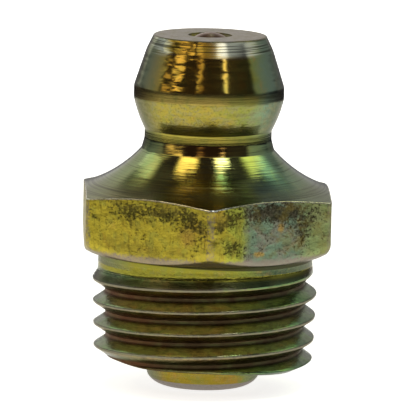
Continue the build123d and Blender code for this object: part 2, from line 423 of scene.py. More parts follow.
def skin_marks(radius, azimuth, height):
    """Wear, dark and orange marks on the hexagon, for its shader."""
    side = hex_radius(azimuth[0])
    from_crease = flare_height(side) - height
    rise = height - HEX_BOTTOM_Z
    corner = np.radians(np.abs(past_corner(azimuth[0]))) * side
    corner_wear = CORNER_WEAR * (1 - smoothstep(*CORNER_WEAR_FADE, corner))
    wear = np.maximum(1 - smoothstep(*BOTTOM_WEAR_FADE, rise), corner_wear)
    wear = np.maximum(wear, CREASE_WEAR * (1 - smoothstep(*CREASE_WEAR_FADE, from_crease)))
    return {"wear": wear, "dark": marked(radius, azimuth, height, DARK_MARKS),
            "warm": marked(radius, azimuth, height, ORANGE_MARKS)}


def thread_marks(radius, azimuth, height):
    """Height on the flank, bare undersides and the darker runout, for the thread's shader."""
    climb = np.clip(1 - (full_crest(height) - radius) / DEPTH, 0, 1)
    along = (height - GAUGE_Z - azimuth / 360 * PITCH + 0.5) % PITCH
    root_z = height - (along - 0.5) * PITCH
    under = window(UNDER_FROM, UNDER_TO, along) * (1 - smoothstep(*UNDER_TOP_FADE, root_z))
    under = under * smoothstep(*UNDER_BOTTOM_FADE, height)
    over_crest = height - (GAUGE_Z + 0.5 * PITCH + azimuth / 360 * PITCH)
    return {"climb": climb, "under": under, "runout": window(RUNOUT_FROM, RUNOUT_TO, over_crest)}


def body_arrays():
    """Vertices, faces, each face's zone and each vertex's marks for the shaders."""
    azimuth = -180 + 360 / COLUMNS * np.arange(COLUMNS)
    strip_azimuth = -180 + 360 / COLUMNS * np.arange(COLUMNS + 1)
    places, faces, zone_of = [], [], []
    marks = {"wear": [], "dark": [], "warm": [], "climb": [], "under": [], "runout": []}
    vertices = 0

    def put(radius, turn, height, row_zones, closed, values):
        """Add one grid; values are its marks by name, 0 where it has none."""
        nonlocal vertices
        rows, columns = radius.shape
        ids = np.array([ZONES.index(z) for z in row_zones])[:, None] * np.ones((1, columns), int)
        flat_radius = handmade(radius.ravel(), turn.ravel(), height.ravel(), ids.ravel())
        a = np.radians(turn.ravel())
        places.append(np.stack([flat_radius * np.cos(a), flat_radius * np.sin(a),
                                height.ravel()], axis=-1))
        faces.extend(grid_faces(vertices, rows, columns, closed))
        across = columns if closed else columns - 1
        for row in range(rows - 1):
            zone_of.extend([ZONES.index(row_zones[row + 1])] * across)
        for name, kept in marks.items():
            kept.append(values.get(name, np.zeros(radius.shape)).ravel())
        vertices += radius.size

    upper, zones = upper_outline(azimuth)
    radius, height = upper[:, 0], upper[:, 1]
    turn = np.broadcast_to(azimuth, radius.shape)
    put(radius, turn, height, zones, True, skin_marks(radius, turn, height))

    radius, height = thread_points(strip_azimuth)
    turn = np.broadcast_to(strip_azimuth, radius.shape)
    zones = ["thread"] * len(radius)
    put(radius, turn, height, zones, False, thread_marks(radius, turn, height))

    lower, zones = lower_outline(azimuth, end_height(azimuth), end_rim_radius(azimuth))
    radius, height = lower[:, 0], lower[:, 1]
    put(radius, np.broadcast_to(azimuth, radius.shape), height, zones, True, {})
    return np.concatenate(places), faces, zone_of, marks


def make_body(materials):
    """The one-piece body, merged where its grids meet."""
    points, faces, zone_of, marks = body_arrays()
    mesh = bpy.data.meshes.new("body_turned")
    mesh.from_pydata(points * MM, [], faces)
    for name, kept in marks.items():
        values = np.concatenate(kept).astype(np.float32)
        mesh.attributes.new(name, "FLOAT", "POINT").data.foreach_set("value", values)
    for zone in ZONES:
        mesh.materials.append(materials[zone])
    mesh.polygons.foreach_set("material_index", np.array(zone_of, dtype=np.int32))
    work = bmesh.new()
    work.from_mesh(mesh)
    bmesh.ops.remove_doubles(work, verts=work.verts, dist=MERGE_DISTANCE * MM)
    bmesh.ops.dissolve_degenerate(work, edges=work.edges, dist=SLIVER * MM)
    bmesh.ops.recalc_face_normals(work, faces=work.faces)
    for face in work.faces:
        face.smooth = True
    work.to_mesh(mesh)
    work.free()
    body = bpy.data.objects.new("body_turned", mesh)
    bpy.context.collection.objects.link(body)
    return body


# ---- spring ----------------------------------------------------------
WIRE_R = 0.16
SPRING_CLEARANCE, SPRING_GAP = 0.17, 0.01
SPRING_MEAN_R = BORE_R - SPRING_CLEARANCE - WIRE_R
SPRING_BOTTOM_Z = LIP_TOP_Z + WIRE_R + SPRING_GAP
SPRING_COILS = 9.5
SPRING_REACH = BALL_R + WIRE_R + SPRING_GAP
SPRING_TOP_Z = BALL_Z - sqrt(SPRING_REACH**2 - SPRING_MEAN_R**2)
WIRE_SIDES = 12
STEPS_PER_COIL = 40
# The wire narrows over its last steps, to a blunt tip.
TIP_STEPS, TIP_BLUNTNESS = 3, 0.35


def make_spring(material):
    """Round wire wound evenly, its ends rounded off."""
    steps = int(SPRING_COILS * STEPS_PER_COIL)
    rings = []
    for i in range(steps + 1):
        share = i / steps
        turn = 2 * pi * SPRING_COILS * share
        centre = Vector((SPRING_MEAN_R * cos(turn), SPRING_MEAN_R * sin(turn),
                         SPRING_BOTTOM_Z + (SPRING_TOP_Z - SPRING_BOTTOM_Z) * share))
        out = Vector((cos(turn), sin(turn), 0))
        narrowed = (min(i, steps - i) + TIP_BLUNTNESS) / (TIP_STEPS + TIP_BLUNTNESS)
        size = WIRE_R * min(1.0, sqrt(narrowed))
        rings.append([centre + size * (out * cos(t) + Vector((0, 0, 1)) * sin(t))
                      for t in (2 * pi * k / WIRE_SIDES for k in range(WIRE_SIDES))])
    points = [p * MM for ring in rings for p in ring]
    faces = []
    for i in range(steps):
        for k in range(WIRE_SIDES):
            n = (k + 1) % WIRE_SIDES
            faces.append((i * WIRE_SIDES + k, i * WIRE_SIDES + n,
                          (i + 1) * WIRE_SIDES + n, (i + 1) * WIRE_SIDES + k))
    faces.append(tuple(range(WIRE_SIDES))[::-1])
    faces.append(tuple(steps * WIRE_SIDES + k for k in range(WIRE_SIDES)))
    mesh = bpy.data.meshes.new("spring_wound")
    mesh.from_pydata(points, [], faces)
    mesh.materials.append(material)
    for face in mesh.polygons:
        face.use_smooth = True
    spring = bpy.data.objects.new("spring_wound", mesh)
    bpy.context.collection.objects.link(spring)
    return spring


# ---- shader nodes ----------------------------------------------------
class Nodes:
    """Short ways to add nodes to a tree."""

    def __init__(self, tree):
        self.tree = tree

    def node(self, kind, **settings):
        made = self.tree.nodes.new(kind)
        for key, value in settings.items():
            setattr(made, key, value)
        return made

    def feed(self, socket, value):
        """Link a socket to an input, or set the input to a number, vector or colour."""
        if isinstance(value, bpy.types.NodeSocket):
            self.tree.links.new(value, socket)
        elif isinstance(value, tuple) and len(value) < len(socket.default_value):
            socket.default_value = (*value, 1.0)
        else:
            socket.default_value = value

    def math(self, operation, *values):
        made = self.node("ShaderNodeMath", operation=operation)
        for socket, value in zip(made.inputs, values):
            self.feed(socket, value)
        return made.outputs[0]

    def times(self, one, other):
        return self.math("MULTIPLY", one, other)

    def step(self, value, low, high):
        """0 at low, 1 at high, smooth between; high may be the lower."""
        made = self.node("ShaderNodeMapRange", interpolation_type="SMOOTHSTEP")
        self.feed(made.inputs["Value"], value)
        made.inputs["From Min"].default_value = low
        made.inputs["From Max"].default_value = high
        return made.outputs[0]


class Shader(Nodes):
    """A metal material, with the place on the part in mm."""

    def __init__(self, name):
        self.material = bpy.data.materials.new(name)
        self.material.use_nodes = True
        super().__init__(self.material.node_tree)
        self.bsdf = self.tree.nodes["Principled BSDF"]
        self.bsdf.inputs["Metallic"].default_value = 1.0
        coordinates = self.node("ShaderNodeTexCoord")
        in_mm = self.node("ShaderNodeVectorMath", operation="SCALE")
        self.feed(in_mm.inputs[0], coordinates.outputs["Object"])
        in_mm.inputs["Scale"].default_value = 1 / MM
        self.place = in_mm.outputs[0]
        split = self.node("ShaderNodeSeparateXYZ")
        self.feed(split.inputs[0], self.place)
        self.x, self.y, self.z = split.outputs
        square = self.math("MULTIPLY_ADD", self.y, self.y, self.times(self.x, self.x))
        self.out = self.math("SQRT", square)

    def scaled(self, value, factor, offset=0.0):
        return self.math("MULTIPLY_ADD", value, factor, offset)

    def window(self, value, out_low, low, high, out_high):
        """1 from low to high, 0 below out_low and above out_high."""
        return self.times(self.step(value, out_low, low), self.step(value, out_high, high))

    def noise_at(self, place, detail, roughness, distortion=0.0):
        made = self.node("ShaderNodeTexNoise")
        self.feed(made.inputs["Vector"], place)
        made.inputs["Scale"].default_value = 1.0
        made.inputs["Detail"].default_value = detail
        made.inputs["Roughness"].default_value = roughness
        made.inputs["Distortion"].default_value = distortion
        return made.outputs["Fac"]

    def noise(self, stretch, detail=3.0, roughness=0.6, distortion=0.0, seed=0.0):
        """Noise whose grain, in mm, is 1 / stretch along x, y and z."""
        mapped = self.node("ShaderNodeMapping")
        self.feed(mapped.inputs["Vector"], self.place)
        mapped.inputs["Location"].default_value = (seed, seed * 1.7, -seed * 0.6)
        mapped.inputs["Scale"].default_value = stretch
        return self.noise_at(mapped.outputs[0], detail, roughness, distortion)

    def rings(self, fineness, detail=3.0, roughness=0.6, seed=0.0):
        """Noise in rings about the axis, finer with fineness, in 1/mm."""
        place = self.node("ShaderNodeCombineXYZ")
        self.feed(place.inputs[0], self.scaled(self.out, fineness, seed))
        self.feed(place.inputs[1], self.scaled(self.z, fineness))
        self.feed(place.inputs[2], self.scaled(self.x, 0.3, seed))
        return self.noise_at(place.outputs[0], detail, roughness)

    def cover(self, under, over, share, most=1.0):
        """One colour over another, by share, most at share 1."""
        made = self.node("ShaderNodeMix", data_type="RGBA")
        self.feed(made.inputs["Factor"], self.scaled(share, most))
        self.feed(made.inputs["A"], under)
        self.feed(made.inputs["B"], over)
        return made.outputs["Result"]

    def attribute(self, name):
        return self.node("ShaderNodeAttribute", attribute_name=name).outputs["Fac"]

    def bump(self, height, depth, under=None):
        """Relief of a depth in mm."""
        made = self.node("ShaderNodeBump")
        made.inputs["Strength"].default_value = 1.0
        made.inputs["Distance"].default_value = depth * MM
        self.feed(made.inputs["Height"], height)
        if under is not None:
            self.feed(made.inputs["Normal"], under)
        return made.outputs["Normal"]

    def sideways(self, low, high):
        """How far a place lies round to the part's left or right side."""
        share = self.math("DIVIDE", self.math("ABSOLUTE", self.x), self.out)
        return self.step(share, low, high)

    def finish(self, colour, roughness, normal, edge_tint=(0.62, 0.60, 0.58)):
        """Feed the shader and give its material; edge_tint is the metal's tint side-on."""
        self.feed(self.bsdf.inputs["Base Color"], colour)
        self.feed(self.bsdf.inputs["Roughness"], roughness)
        self.feed(self.bsdf.inputs["Normal"], normal)
        self.bsdf.inputs["Specular Tint"].default_value = (*edge_tint, 1.0)
        return self.material


YELLOW = (0.35, 0.28, 0.045)
GREEN = (0.19, 0.24, 0.055)
TEAL = (0.17, 0.26, 0.19)
ORANGE = (0.46, 0.22, 0.03)
MAUVE = (0.25, 0.20, 0.17)
SOOT = (0.022, 0.018, 0.008)
PAINTED_SIDE_GREY_GREEN = (0.19, 0.22, 0.15)
SILVER_HIGHLIGHT = (0.62, 0.60, 0.46)
GLINT = (1.0, 1.0, 0.92)
GOLD_HIGHLIGHT = (1.0, 0.74, 0.15)
STRAW_PAINTED_LIGHT = (0.60, 0.50, 0.19)
BURNT_BROWN, BURNT_OLIVE = (0.38, 0.185, 0.04), (0.44, 0.36, 0.08)
DULL_OLIVE, PATINA = (0.19, 0.175, 0.11), (0.24, 0.22, 0.12)
STEELY, STEELY_PINK, STEELY_LIME = (0.16, 0.24, 0.17), (0.21, 0.20, 0.17), (0.26, 0.30, 0.08)
LIME, COPPER, TAN = (0.34, 0.40, 0.06), (0.42, 0.26, 0.05), (0.20, 0.155, 0.03)
SCUFF_LEFT, SCUFF_RIGHT = (0.060, 0.052, 0.015), (0.060, 0.052, 0.032)
SCUFF_DEEP = (0.014, 0.011, 0.005)
LEAF, OLIVE = (0.14, 0.23, 0.075), (0.215, 0.21, 0.077)
COLLAR_YELLOW, COLLAR_PAINTED_SIDE = (0.27, 0.24, 0.026), (0.13, 0.15, 0.10)
BARE_TAN, CREST_GREY = (0.50, 0.33, 0.17), (0.18, 0.158, 0.115)
UNDERSIDE_GRIME_AND_SHADE, ROOT_GRIME_AND_SHADE_BROWN, ROOT_GRIME_AND_SHADE_RED = (0.040, 0.036, 0.016), (0.040, 0.022, 0.013), (0.095, 0.036, 0.018)
RUST = (0.20, 0.13, 0.06)

# Heights of what the coating shows: top edge band on the cone with painted highlights, darker low
# band on the hook, burnt top with a painted gold highlight and dull foot of the flare, grime and
# painted shade on the fillet, yellow band on the collar.
TOP_EDGE_BAND = 14.95, 15.25
HOOK_DARKER_Z = 12.12
FLARE_BURNT_AND_HIGHLIGHT_Z, FLARE_DULL_Z = 10.60, 9.6
FILLET_GRIME_AND_SHADE_BAND = 5.89, 5.95
COLLAR_BAND = 5.34, 5.44


def chromate_colour(s, yellow=YELLOW, green=GREEN, teal=TEAL, side=0.8, orange=0.25,
                    side_colour=PAINTED_SIDE_GREY_GREEN, green_from=0.2, green_to=1.9):
    """Iridescent yellow coating, greener to the right, with a painted side-on reflection at both
    sides.
    """
    drift = s.noise((0.55, 0.55, 0.55), 3.0, 0.55, seed=2.0)
    mottle = s.noise((2.6, 2.6, 2.0), 4.0, 0.6, 0.4, seed=4.0)
    warm = s.noise((1.3, 1.3, 1.1), 3.0, 0.6, 0.3, seed=9.0)
    right = s.math("ADD", s.scaled(drift, 2.2, -1.1), s.x)
    colour = s.cover(yellow, green, s.step(right, green_from, green_to), 0.7)
    colour = s.cover(colour, teal, s.step(right, 1.5, 2.7), 0.9)
    colour = s.cover(colour, green, s.step(mottle, 0.46, 0.66), 0.35)
    colour = s.cover(colour, ORANGE, s.step(warm, 0.55, 0.72), orange)
    # Painted reflection: the left and right sides turn to side_colour, the greyer or darker look
    # of metal seen side-on.
    return s.cover(colour, side_colour, s.sideways(0.62, 0.96), side)


def turned_metal(name, roughness, line_depth, dull_below=None, burnt_and_highlight_above=None, **tints):
    """Turned surface, whose fine rings spread highlights up and down; lengths in mm."""
    s = Shader(name)
    colour = chromate_colour(s, **tints)
    rings = s.rings(13.0, 4.0, 0.65, seed=1.0)
    wide_rings = s.rings(6.0, 3.0, 0.6, seed=6.0)
    colour = s.cover(colour, SOOT, s.step(rings, 0.50, 0.68), 0.5)
    if burnt_and_highlight_above:
        ragged = s.math("ADD", s.x, s.scaled(rings, 0.8, -0.4))
        burnt_and_highlight = s.times(s.window(ragged, -1.95, -1.65, 1.3, 2.0),
                        s.step(s.z, burnt_and_highlight_above, burnt_and_highlight_above + 0.18))
        # Painted highlight: a gold patch at the left of the burnt band.
        gold_highlight = s.window(ragged, -1.95, -1.65, -1.2, -0.95)
        brown_and_highlight = s.cover(BURNT_BROWN, BURNT_OLIVE, s.step(ragged, 0.5, 1.2))
        brown_and_highlight = s.cover(brown_and_highlight, GOLD_HIGHLIGHT, gold_highlight)
        colour = s.cover(colour, brown_and_highlight, burnt_and_highlight, 0.85)
    normal = s.bump(wide_rings, line_depth * 2.5)
    normal = s.bump(rings, line_depth, normal)
    rough = s.scaled(rings, 0.12, roughness - 0.06)
    if dull_below:
        dull = s.step(s.z, dull_below, dull_below - 0.5)
        middle = s.window(s.x, -2.2, -0.9, 0.8, 1.6)
        inner = s.window(s.out, 4.2, 4.5, 5.0, 5.8)
        colour = s.cover(colour, DULL_OLIVE, dull, 0.5)
        # Painted light: a lighter straw patch low on the flare, in front and behind, where the
        # hook shades it.
        colour = s.cover(colour, STRAW_PAINTED_LIGHT, s.times(inner, middle), 0.6)
        colour = s.cover(colour, SOOT, s.times(dull, s.step(rings, 0.48, 0.58)), 0.35)
        rough = s.math("MULTIPLY_ADD", dull, 0.12, rough)
    return s.finish(colour, rough, normal)


def cone_metal():
    """Bright head: burnished coat that wrinkles what it mirrors, painted silver highlights near
    the top edge.
    """
    s = Shader("head_cone")
    colour = chromate_colour(s, yellow=(0.48, 0.31, 0.05), side=0.9, orange=0.5)
    rings = s.rings(22.0, seed=1.0)
    ragged_x = s.math("ADD", s.x, s.scaled(rings, 1.6, -0.8))
    near_top = s.step(s.z, *TOP_EDGE_BAND)
    # Painted highlights: silver patches on the bevel at the right and at the left.
    highlight_right = s.window(ragged_x, -0.2, 0.5, 1.5, 2.3)
    highlight_left = s.window(ragged_x, -2.5, -2.2, -2.0, -1.7)
    highlight_sides = s.math("MAXIMUM", highlight_right, highlight_left)
    colour = s.cover(colour, SILVER_HIGHLIGHT, s.times(near_top, highlight_sides), 0.9)
    lines = s.step(s.rings(11.0, 2.0, 0.5, seed=24.0), 0.52, 0.64)
    colour = s.cover(colour, SOOT, s.times(lines, near_top), 0.7)
    arcs = s.noise((0.8, 0.8, 3.6), 0.5, 0.5, 0.5, seed=3.0)
    crinkle = s.noise((1.3, 1.3, 3.4), 1.4, 0.5, 0.3, seed=13.0)
    left = s.window(s.x, -2.6, -2.1, -0.8, -0.1)
    calm = s.math("MAXIMUM", s.scaled(near_top, -0.85, 1.0), s.scaled(left, 0.6))
    normal = s.bump(s.times(arcs, calm), 0.018)
    normal = s.bump(s.times(crinkle, s.scaled(left, 0.92, 0.08)), 0.032, normal)
    normal = s.bump(rings, 0.0010, normal)
    return s.finish(colour, s.scaled(rings, 0.12, 0.07), normal)


def matte_metal(name, roughness, grain_depth, fineness, darker_below=None, **tints):
    """As-plated skin with a fine grain; the hook's is darker in front below a height."""
    s = Shader(name)
    colour = chromate_colour(s, **tints)
    grain = s.noise((fineness, fineness, fineness), seed=5.0)
    streaks = s.noise((0.7, 0.7, 9.0), seed=8.0)
    dull = s.noise((3.0, 3.0, 5.0), 4.0, 0.65, 0.5, seed=10.0)
    patina = 0.55 if darker_below else 0.2
    colour = s.cover(colour, PATINA, s.step(dull, 0.42, 0.64), patina)
    colour = s.cover(colour, SOOT, s.step(streaks, 0.48, 0.70), 0.22)
    colour = s.cover(colour, SOOT, s.step(grain, 0.50, 0.72), 0.35 if darker_below else 0.12)
    # Darker toward the bottom of the hook, in front and behind, and darker still in a thin band at
    # its foot over the neck.
    if darker_below:
        ragged = s.math("MULTIPLY_ADD", streaks, 0.35, s.scaled(dull, 0.5, -0.42))
        height = s.math("ADD", s.z, ragged)
        patchy = s.math("ADD", s.sideways(0.90, 0.55), s.scaled(streaks, 0.6, -0.3))
        darker_low = s.times(s.step(height, darker_below, darker_below - 0.10), s.step(patchy, 0.25, 0.60))
        colour = s.cover(colour, SOOT, darker_low, 0.62)
        foot = s.step(s.z, NECK_TOP_Z + 0.13, NECK_TOP_Z + 0.03)
        foot = s.times(foot, s.sideways(0.95, 0.75))
        colour = s.cover(colour, SOOT, foot, 0.75)
    normal = s.bump(grain, grain_depth)
    normal = s.bump(streaks, grain_depth * 0.5, normal)
    return s.finish(colour, s.scaled(grain, 0.16, roughness - 0.08), normal)


def fillet_metal():
    """Fillet under the hexagon, dark with grime and painted shade but for its left end."""
    s = Shader("grimy_shaded_fillet")
    colour = chromate_colour(s, yellow=(0.25, 0.23, 0.03), side_colour=(0.13, 0.15, 0.09))
    streaks = s.noise((0.8, 0.8, 10.0), seed=26.0)
    ragged = s.math("ADD", s.x, s.scaled(streaks, 1.6, -0.8))
    rising = s.math("MULTIPLY_ADD", s.x, 0.04, s.z)
    # Grime and painted shade along the fillet under the hexagon, but for its left end.
    grime_and_shade = s.times(s.step(ragged, -4.0, -3.2), s.step(rising, *FILLET_GRIME_AND_SHADE_BAND))
    colour = s.cover(colour, UNDERSIDE_GRIME_AND_SHADE, grime_and_shade, 0.92)
    return s.finish(colour, 0.4, s.bump(streaks, 0.005))


def flat_metal():
    """Drawn sides of the hexagon: mottled, scuffed under the crease, worn at its edges."""
    s = Shader("hexagon_sides")
    yellow = (0.44, 0.35, 0.037)
    colour = chromate_colour(s, yellow=yellow, teal=(0.30, 0.30, 0.05), side=0.0, orange=0.3)
    patch = s.noise((1.5, 1.5, 1.8), 3.0, 0.6, 0.2, seed=14.0)
    speck = s.noise((10.0, 10.0, 10.0), 4.0, 0.6, seed=11.0)
    stroke = s.noise((5.0, 5.0, 7.0), 4.0, 0.7, 0.3, seed=12.0)
    streak = s.noise((8.0, 8.0, 1.5), 4.0, 0.65, 0.2, seed=21.0)
    raggedness = s.math("MAXIMUM", s.scaled(s.y, 0.42, 2.8), 0.8)
    edge_drift = s.math("MULTIPLY_ADD", s.scaled(patch, 1.0, -0.5), raggedness, s.x)
    far_right = s.step(edge_drift, 1.30, 1.85)
    steely = s.cover(STEELY, STEELY_PINK, s.step(patch, 0.44, 0.60), 0.85)
    steely = s.cover(steely, STEELY_LIME, s.step(s.x, 3.6, 4.6), 0.6)
    limy = s.times(s.step(s.x, 0.35, 0.9), s.step(patch, 0.36, 0.56))
    colour = s.cover(colour, LIME, limy, 0.6)
    colour = s.cover(colour, steely, far_right, 0.93)
    warm = s.math("MULTIPLY_ADD", stroke, 0.6, s.attribute("warm"))
    colour = s.cover(colour, COPPER, s.step(warm, 0.55, 1.0), 0.75)
    field = s.math("MULTIPLY_ADD", s.attribute("dark"), 0.38, s.scaled(patch, 0.5))
    field = s.math("MULTIPLY_ADD", stroke, 1.4, field)
    field = s.math("MULTIPLY_ADD", speck, 0.5, field)
    scuff = s.cover(SCUFF_LEFT, SCUFF_RIGHT, far_right)
    scuff = s.cover(scuff, SCUFF_DEEP, s.step(speck, 0.44, 0.58), 0.75)
    colour = s.cover(colour, scuff, s.step(field, 1.26, 1.62), 0.93)
    cloud = s.noise((1.0, 1.0, 1.4), 3.0, 0.6, 0.3, seed=28.0)
    colour = s.cover(colour, TAN, s.step(cloud, 0.48, 0.64), 0.40)
    dots = s.step(s.math("MULTIPLY_ADD", patch, 0.40, speck), 0.80, 0.94)
    colour = s.cover(colour, SOOT, dots, 0.8)
    colour = s.cover(colour, SOOT, s.step(streak, 0.52, 0.72), 0.40)
    ragged = s.math("MULTIPLY_ADD", streak, 0.7, s.scaled(speck, 0.6, -1.1))
    ragged = s.math("MULTIPLY_ADD", stroke, 0.9, ragged)
    wear = s.math("MULTIPLY_ADD", s.attribute("dark"), -0.22, s.attribute("wear"))
    worn = s.step(s.math("ADD", wear, ragged), 0.30, 0.95)
    colour = s.cover(colour, MAUVE, worn, 0.8)
    normal = s.bump(patch, 0.03)
    normal = s.bump(streak, 0.006, normal)
    normal = s.bump(speck, 0.006, normal)
    return s.finish(colour, s.scaled(speck, 0.3, 0.20), normal)


def edge_metal(name, roughness, colour=MAUVE, coated=0.6, painted_glint=False):
    """Edges and faces whose coating has rubbed to grey; with painted_glint, a painted highlight in
    the front's middle.
    """
    s = Shader(name)
    grain = s.noise((12.0, 12.0, 12.0), seed=15.0)
    patch = s.noise((2.2, 2.2, 2.2), seed=16.0)
    olive = tuple(c * 0.6 for c in YELLOW)
    tint = s.cover(colour, olive, s.step(patch, 0.42, 0.66), coated)
    tint = s.cover(tint, SOOT, s.step(grain, 0.52, 0.7), 0.25)
    # Painted highlight: a white glint across the middle, where x is near 0.
    if painted_glint:
        tint = s.cover(tint, GLINT, s.window(s.x, -0.7, 0.0, 0.4, 1.0))
    normal = s.bump(grain, 0.010)
    return s.finish(tint, s.scaled(grain, 0.2, roughness - 0.1), normal, (0.75, 0.72, 0.70))


def thread_metal():
    """Rolled thread: coated flanks, roots darkened by grime and painted shade, crests rubbed
    bright.
    """
    s = Shader("rolled_thread")
    colour = chromate_colour(s, yellow=OLIVE, green=LEAF, teal=(0.10, 0.18, 0.10), orange=0.2)
    climb = s.attribute("climb")
    along = s.noise((1.1, 1.1, 1.3), 4.0, 0.6, 0.3, seed=17.0)
    grain = s.noise((12.0, 12.0, 20.0), seed=18.0)
    streaks = s.noise((0.9, 0.9, 16.0), 3.0, 0.6, seed=22.0)
    colour = s.cover(colour, LEAF, s.step(along, 0.40, 0.62), 0.6)
    mottle = s.noise((4.5, 4.5, 6.0), 3.0, 0.6, 0.3, seed=23.0)
    colour = s.cover(colour, BARE_TAN, s.attribute("under"), 0.9)
    colour = s.cover(colour, SOOT, s.step(mottle, 0.48, 0.68), 0.45)
    colour = s.cover(colour, SOOT, s.step(streaks, 0.50, 0.68), 0.30)
    crest = s.step(s.math("MULTIPLY_ADD", mottle, 0.20, climb), 0.98, 1.08)
    colour = s.cover(colour, CREST_GREY, crest, 0.9)
    # Grime and painted shade: the roots and low flanks darkened brown, redder to the left.
    root_dirt_and_shade = s.step(s.math("MULTIPLY_ADD", along, 0.3, climb), 0.50, 0.14)
    grime_and_shade = s.cover(ROOT_GRIME_AND_SHADE_BROWN, ROOT_GRIME_AND_SHADE_RED, s.step(s.x, -1.2, -3.6))
    colour = s.cover(colour, grime_and_shade, root_dirt_and_shade, 0.94)
    colour = s.cover(colour, COLLAR_YELLOW, s.step(s.z, *COLLAR_BAND), 0.85)
    colour = s.cover(colour, (0.040, 0.036, 0.014), s.attribute("runout"), 0.80)
    normal = s.bump(along, 0.02)
    normal = s.bump(mottle, 0.010, normal)
    normal = s.bump(streaks, 0.004, normal)
    normal = s.bump(grain, 0.006, normal)
    return s.finish(colour, s.scaled(root_dirt_and_shade, 0.3, 0.18), normal)


def steel(name, colour, roughness, scratch, edge_tint=(0.8, 0.8, 0.8)):
    """Bare hardened or drawn steel with fine scratches."""
    s = Shader(name)
    lines = s.noise(scratch, seed=19.0)
    patch = s.noise((2.0, 2.0, 2.0), seed=20.0)
    tint = s.cover(colour, RUST, s.step(patch, 0.4, 0.7), 0.4)
    normal = s.bump(lines, 0.004)
    return s.finish(tint, s.scaled(lines, 0.12, roughness - 0.06), normal, edge_tint)


def body_materials():
    flare_tints = {"yellow": (0.36, 0.31, 0.09), "green": (0.32, 0.40, 0.13), "orange": 0.1,
                   "side_colour": (0.16, 0.22, 0.12), "green_from": -0.1, "green_to": 0.9}
    neck_tints = {"yellow": (0.38, 0.31, 0.055), "green": (0.16, 0.20, 0.05), "orange": 0.1,
                  "side_colour": (0.08, 0.11, 0.055)}
    skin = matte_metal("plated_skin", 0.22, 0.006, 12.0, darker_below=HOOK_DARKER_Z,
                       side_colour=(0.085, 0.105, 0.072))
    collar = matte_metal("rolled_collar", 0.28, 0.006, 8.0, yellow=COLLAR_YELLOW,
                         teal=(0.05, 0.08, 0.055), side_colour=COLLAR_PAINTED_SIDE)
    boss = matte_metal("boss_skin", 0.28, 0.005, 6.0, yellow=(0.31, 0.23, 0.025), orange=0.5)
    return {
        "top": edge_metal("top_face", 0.34, (0.35, 0.31, 0.255)),
        "rim": edge_metal("rim_line", 0.30, (0.10, 0.09, 0.06), 0.3),
        "cone": cone_metal(),
        "land": turned_metal("head_land", 0.24, 0.0014, yellow=(0.54, 0.41, 0.10),
                             side_colour=(0.06, 0.05, 0.035)),
        "hook": skin,
        "neck": turned_metal("turned_neck", 0.22, 0.0030, **neck_tints),
        "flare": turned_metal("turned_flare", 0.09, 0.0045, dull_below=FLARE_DULL_Z,
                              burnt_and_highlight_above=FLARE_BURNT_AND_HIGHLIGHT_Z, **flare_tints),
        # The crease is pale as a rubbed edge and as a painted highlight line.
        "crease": edge_metal("crease_line", 0.20, (0.66, 0.63, 0.50), 0.4, painted_glint=True),
        "flat": flat_metal(),
        "under": fillet_metal(),
        "collar": collar,
        "thread": thread_metal(),
        "end": edge_metal("rubbed_edges", 0.38),
        "boss": boss,
        "crimp": edge_metal("crimped_lip", 0.38, (0.27, 0.24, 0.21), 0.1),
        "bore": edge_metal("bored_inside", 0.45, (0.16, 0.13, 0.07)),
    }


# ---- the piece, dressed ----------------------------------------------
body = make_body(body_materials())
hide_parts("nipple_body")
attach(body, "body")

spring = make_spring(steel("spring_wire", (0.42, 0.42, 0.44), 0.3, (3.0, 3.0, 3.0)))
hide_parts("ball_spring")
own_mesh(spring)
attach(spring, "body")

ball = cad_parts["check_ball"]
ball_finish = steel("ball_polish", (0.14, 0.07, 0.045), 0.30, (5.0, 5.0, 5.0), (0.95, 0.93, 0.88))
for ball_slot in ball.material_slots:
    ball_slot.material = ball_finish
for face in ball.data.polygons:
    face.use_smooth = True


# ---- floor -----------------------------------------------------------
CARD_R, FLOOR_R, FLOOR_SIDES = 73.0, 2500.0, 96


def ring_floor(name, inner, outer, brightness):
    """A flat ring of pale paper under the part (a disc, with inner 0), radii in mm."""
    n = FLOOR_SIDES
    ring = [(cos(2 * pi * k / n), sin(2 * pi * k / n)) for k in range(n)]
    points = [(outer * x * MM, outer * y * MM, 0) for x, y in ring]
    faces = [tuple(range(n))]
    if inner:
        points += [(inner * x * MM, inner * y * MM, 0) for x, y in ring]
        faces = [(k, (k + 1) % n, n + (k + 1) % n, n + k) for k in range(n)]
    mesh = bpy.data.meshes.new(name)
    mesh.from_pydata(points, [], faces)
    mesh.materials.append(paper(brightness))
    made = bpy.data.objects.new(name, mesh)
    bpy.context.collection.objects.link(made)
    return made


def paper(brightness):
    """Dull pale paper that shines a little, as paper under strong light."""
    material = bpy.data.materials.new("floor_paper")
    material.use_nodes = True
    bsdf = material.node_tree.nodes["Principled BSDF"]
    bsdf.inputs["Base Color"].default_value = (0.9, 0.9, 0.9, 1)
    bsdf.inputs["Roughness"].default_value = 0.9
    bsdf.inputs["Specular IOR Level"].default_value = 0.0
    bsdf.inputs["Emission Color"].default_value = (1, 1, 1, 1)
    bsdf.inputs["Emission Strength"].default_value = brightness
    return material


# The near floor shows in the metal. The far floor doesn't, so that the head's rim mirrors
# a dark room, as metal does in a studio.
ring_floor("floor_near", 0, CARD_R, 0.75)
far_floor = ring_floor("floor_far", CARD_R, FLOOR_R, 1.0)
far_floor.visible_glossy = False


# ---- light -----------------------------------------------------------
WARM, WHITE, COOL = (1.0, 0.84, 0.60), (1.0, 1.0, 1.0), (0.85, 0.97, 1.0)
ROOM_LIGHT = (0.035, 0.032, 0.050)
LOWEST_UP = 0.05
